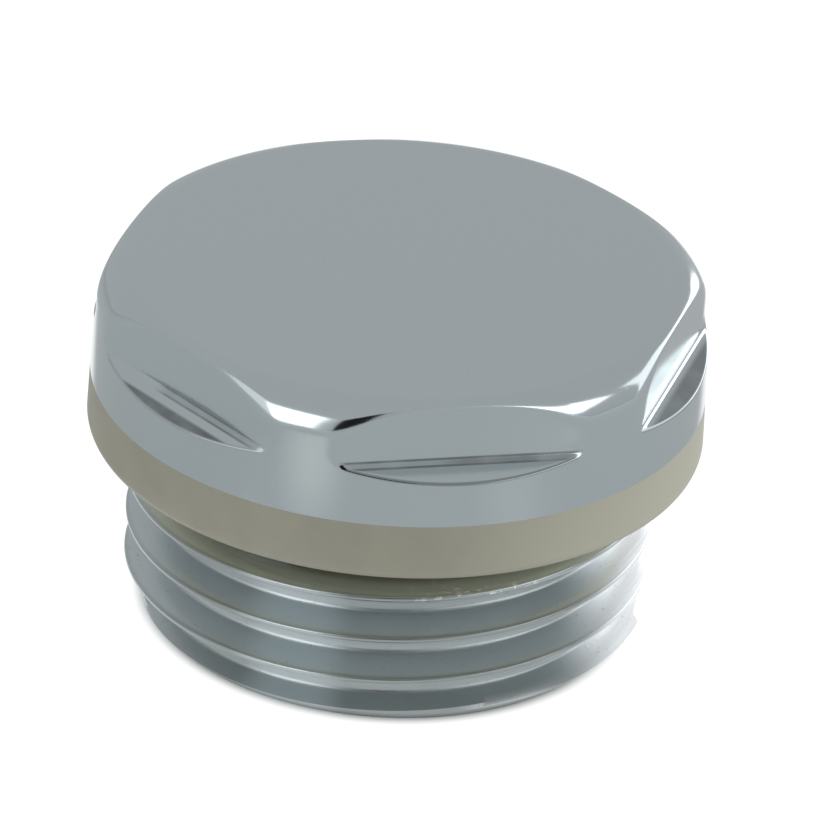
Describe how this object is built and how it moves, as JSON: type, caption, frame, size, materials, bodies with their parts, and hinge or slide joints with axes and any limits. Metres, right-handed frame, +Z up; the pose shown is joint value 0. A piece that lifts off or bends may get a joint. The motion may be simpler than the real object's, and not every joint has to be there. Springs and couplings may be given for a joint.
{
  "type": "radiator blanking plug",
  "caption": "Chromed blanking plug with a low rounded hexagon head, a pale sealing ring under it and a hollow male pipe thread that closes an unused radiator tapping.",
  "frame": {"origin": "on the plug's axis, at the end face of its thread", "axes": "+Z up the plug's axis from the thread to the head, -Y square to one of the head's flats"},
  "size_m": [0.0242, 0.0242, 0.0147],
  "materials": {
    "chrome_plate": "polished",
    "seal": "satin"
  },
  "bodies": {
    "root": {"plug_body": "chrome_plate", "sealing_ring": "seal"}
  },
  "joints": []
}
